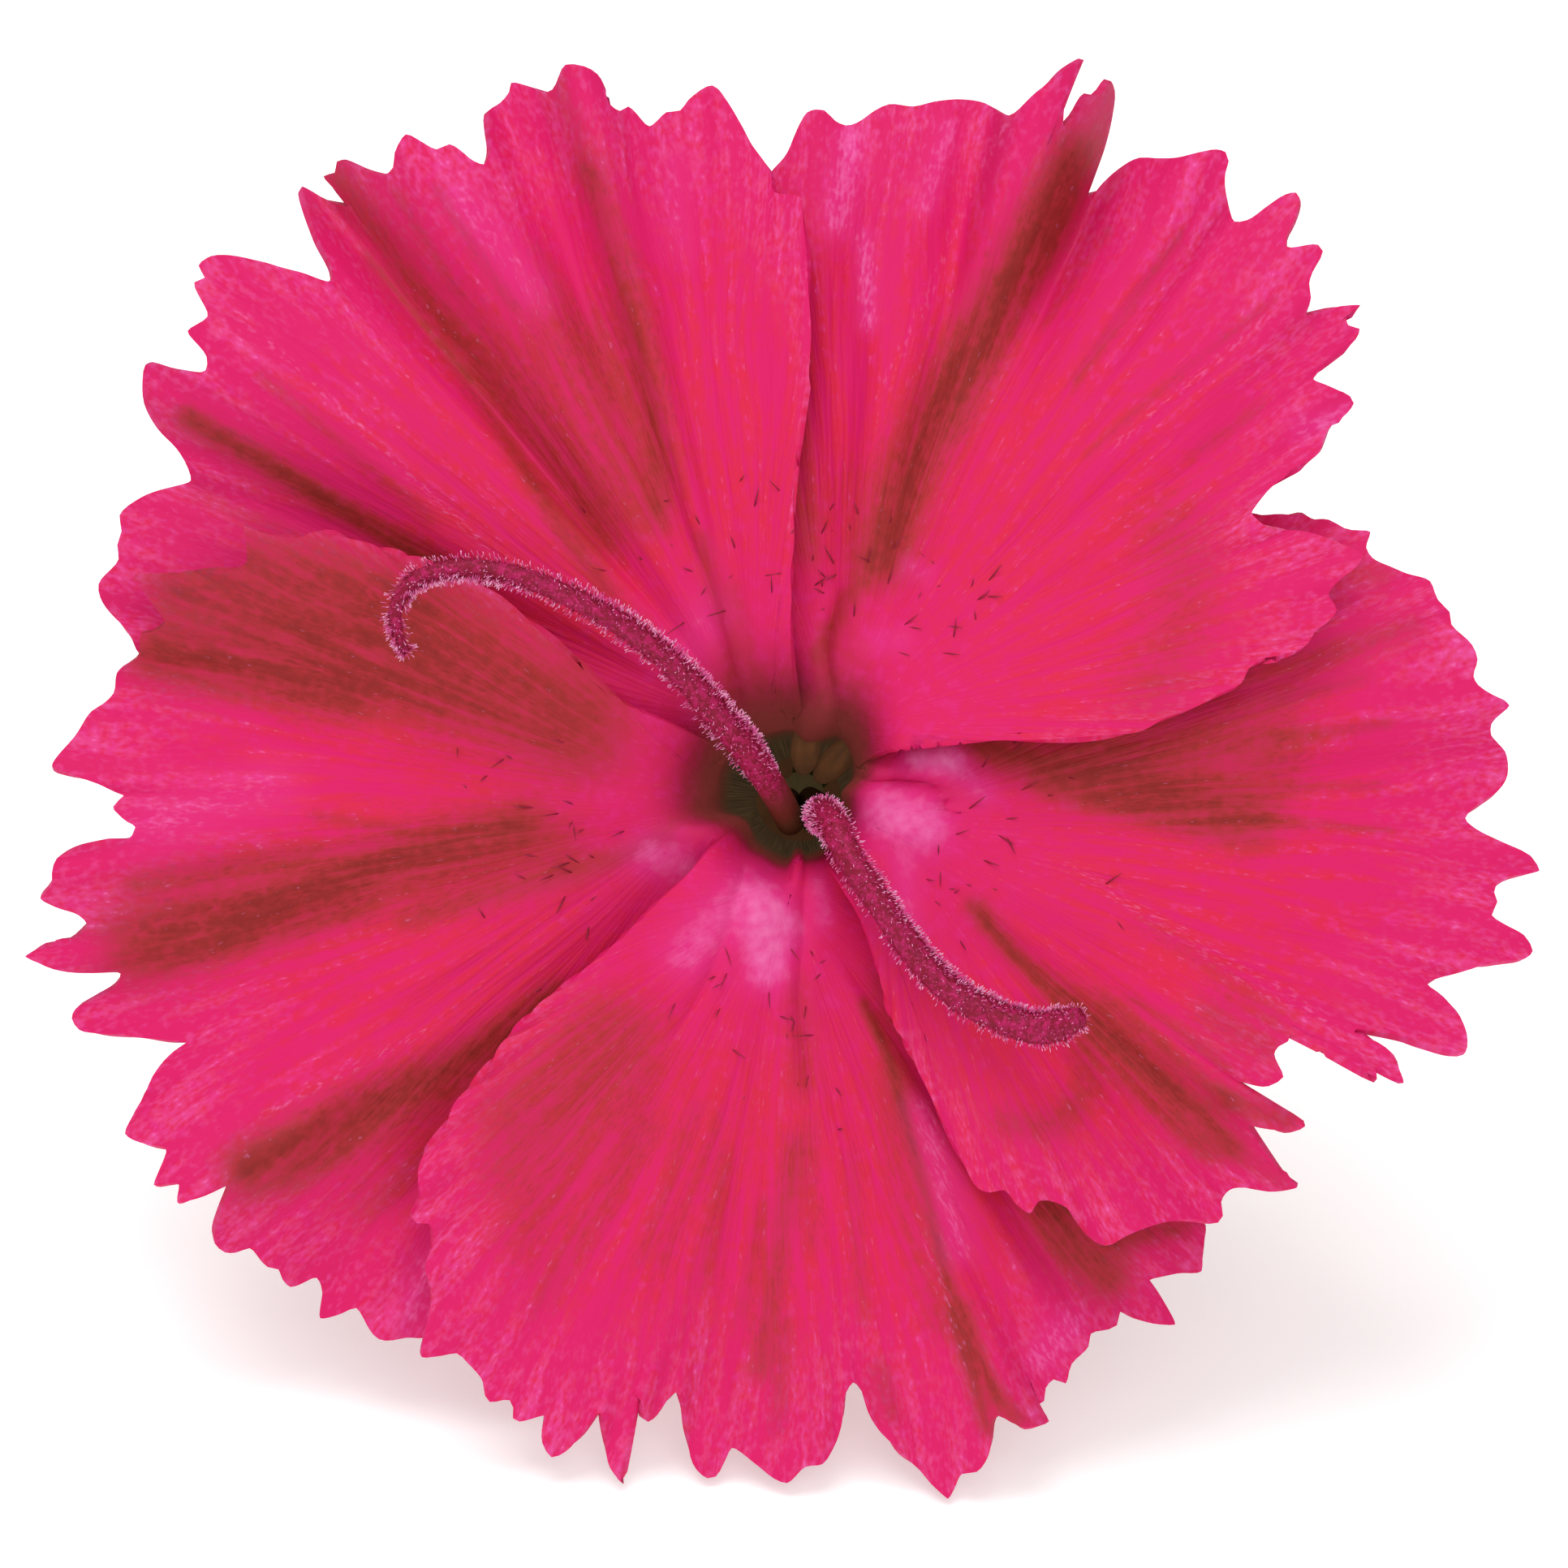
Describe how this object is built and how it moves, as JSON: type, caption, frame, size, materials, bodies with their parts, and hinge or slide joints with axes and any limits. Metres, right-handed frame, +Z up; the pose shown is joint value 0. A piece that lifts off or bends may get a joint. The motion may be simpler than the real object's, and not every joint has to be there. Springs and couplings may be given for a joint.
{
  "type": "dianthus flower",
  "caption": "Single-flowered dianthus bloom with fringed, overlapping petals, curling hairy styles, a toothed calyx tube and a short cut stem, lying on its side.",
  "frame": {"origin": "middle of the bounding box on the surface that the flower lies on", "axes": "+Z up, +X across the face of the flower, and the face looks towards -Y and up, with the stem behind it at +Y"},
  "size_m": [0.0372, 0.0346, 0.0327],
  "materials": {
    "petal": "velvety, soft petal tissue",
    "style": "matte, covered with short hairs",
    "stamen": "matte",
    "calyx": "satin, finely ribbed",
    "scale": "satin",
    "stem": "satin"
  },
  "bodies": {
    "root": {"stem": "stem", "epicalyx_outer_pair": "scale", "epicalyx_inner_pair": "scale", "calyx": "calyx", "stamens": "stamen", "pistil": "style", "petal_upper_left": "petal", "petal_upper_right": "petal", "petal_right": "petal", "petal_bottom": "petal", "petal_left": "petal"}
  },
  "joints": []
}
